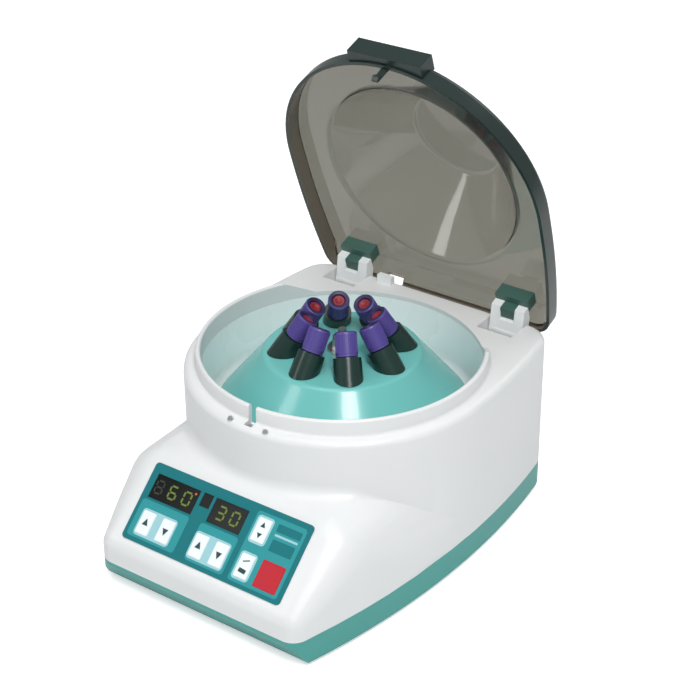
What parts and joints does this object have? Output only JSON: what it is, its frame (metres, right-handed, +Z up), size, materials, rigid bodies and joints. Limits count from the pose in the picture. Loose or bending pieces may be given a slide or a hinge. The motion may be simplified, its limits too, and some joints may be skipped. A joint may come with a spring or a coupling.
{
  "type": "bench centrifuge",
  "caption": "Small bench-top tube centrifuge: round bowl with an angle rotor holding capped blood tubes, sloped key panel, smoked domed lid standing open.",
  "frame": {"origin": "on the bench, under the middle of the whole outline with the lid standing open", "axes": "+X across the machine to the right, +Y from the key panel back to the hinges, +Z up"},
  "size_m": [0.231, 0.3468, 0.3481],
  "materials": {
    "tub_teal": "moulded, satin gloss",
    "foot_rubber": "matt",
    "screw_steel": "plain",
    "housing_white": "moulded, satin gloss",
    "bowl_white": "moulded, satin gloss",
    "seal_rubber": "matt",
    "plate_steel": "plated",
    "mount_rubber": "matt",
    "motor_steel": "satin",
    "bearing_steel": "ground",
    "shaft_steel": "ground",
    "rotor_turquoise": "moulded, gloss",
    "sleeve_dark": "moulded, gloss",
    "tube_clear": "clear",
    "cap_violet": "satin",
    "stopper_red": "matt",
    "nut_steel": "turned",
    "lid_smoke": "smoked clear plastic",
    "rim_dark": "moulded, gloss",
    "handle_dark": "moulded, gloss",
    "hook_dark": "moulded",
    "hinge_white": "moulded, satin gloss",
    "clamp_green": "moulded, satin gloss",
    "pin_steel": "ground",
    "tab_white": "moulded",
    "bracket_steel": "bent sheet",
    "lever_steel": "bent sheet",
    "magnet_brass": "wound coil in a frame",
    "label_teal": "printed film",
    "window_black": "polished",
    "digit_green": "dim lit bars",
    "key_white": "satin film",
    "key_red": "satin film",
    "board_green": "printed board",
    "core_iron": "laminated core",
    "inlet_black": "moulded",
    "contact_brass": "plated",
    "rocker_red": "moulded"
  },
  "bodies": {
    "machine": {"base_tub": "tub_teal", "rubber_feet": "foot_rubber", "base_screws": "screw_steel", "housing": "housing_white", "bowl_liner": "bowl_white", "shaft_seal": "seal_rubber", "motor_plate": "plate_steel", "vibration_mounts": "mount_rubber", "motor_can": "motor_steel", "motor_bearings": "bearing_steel", "hinge_pins": "pin_steel", "lid_sensor_tab": "tab_white", "latch_bracket": "bracket_steel", "latch_pin": "pin_steel", "latch_magnet": "magnet_brass", "ledge_screws": "screw_steel", "keypad_label": "label_teal", "display_windows": "window_black", "display_digits": "digit_green", "control_board": "board_green", "power_board": "board_green", "transformer": "core_iron", "mains_inlet": "inlet_black", "inlet_pins": "contact_brass", "rocker_frame": "inlet_black"},
    "rotor": {"motor_shaft": "shaft_steel", "rotor_body": "rotor_turquoise", "rotor_sleeves": "sleeve_dark", "sample_tubes": "tube_clear", "tube_caps": "cap_violet", "tube_stoppers": "stopper_red", "rotor_nut": "nut_steel"},
    "lid": {"lid_shell": "lid_smoke", "lid_rim": "rim_dark", "lid_handle": "handle_dark", "lid_hook": "hook_dark", "hinge_arms": "hinge_white", "hinge_clamps": "clamp_green"},
    "latch": {"latch_lever": "lever_steel"},
    "rocker": {"power_rocker": "rocker_red"},
    "key_speed_up": {"key_speed_up": "key_white"},
    "key_speed_down": {"key_speed_down": "key_white"},
    "key_time_up": {"key_time_up": "key_white"},
    "key_time_down": {"key_time_down": "key_white"},
    "key_program": {"key_program": "key_white"},
    "key_lid": {"key_lid": "key_white"},
    "key_stop": {"key_stop": "key_red"}
  },
  "joints": [
    {"name": "lid_hinge", "type": "hinge", "parent": "machine", "child": "lid", "pos_m": [0, 0.11959, 0.122], "axis": [-1, 0, 0], "range_deg": [-71.2, 6]},
    {"name": "rotor_spin", "type": "hinge", "parent": "machine", "child": "rotor", "pos_m": [0, 0.00459, 0.138], "axis": [0, 0, 1], "continuous": true},
    {"name": "latch_turn", "type": "hinge", "parent": "machine", "child": "latch", "pos_m": [0, -0.10491, 0.092], "axis": [-1, 0, 0], "range_deg": [0, 3], "stiffness_Nm_per_rad": 0.2},
    {"name": "power_switch", "type": "hinge", "parent": "machine", "child": "rocker", "pos_m": [0.083, 0.12059, 0.047], "axis": [1, 0, 0], "range_deg": [0, 20]},
    {"name": "key_speed_up_press", "type": "slide", "parent": "machine", "child": "key_speed_up", "axis": [0, 0.6691, -0.7431], "range_m": [0, 0.0008], "stiffness_N_per_m": 1500},
    {"name": "key_speed_down_press", "type": "slide", "parent": "machine", "child": "key_speed_down", "axis": [0, 0.6691, -0.7431], "range_m": [0, 0.0008], "stiffness_N_per_m": 1500},
    {"name": "key_time_up_press", "type": "slide", "parent": "machine", "child": "key_time_up", "axis": [0, 0.6691, -0.7431], "range_m": [0, 0.0008], "stiffness_N_per_m": 1500},
    {"name": "key_time_down_press", "type": "slide", "parent": "machine", "child": "key_time_down", "axis": [0, 0.6691, -0.7431], "range_m": [0, 0.0008], "stiffness_N_per_m": 1500},
    {"name": "key_program_press", "type": "slide", "parent": "machine", "child": "key_program", "axis": [0, 0.6691, -0.7431], "range_m": [0, 0.0008], "stiffness_N_per_m": 1500},
    {"name": "key_lid_press", "type": "slide", "parent": "machine", "child": "key_lid", "axis": [0, 0.6691, -0.7431], "range_m": [0, 0.0008], "stiffness_N_per_m": 1500},
    {"name": "key_stop_press", "type": "slide", "parent": "machine", "child": "key_stop", "axis": [0, 0.6691, -0.7431], "range_m": [0, 0.0008], "stiffness_N_per_m": 1500}
  ]
}
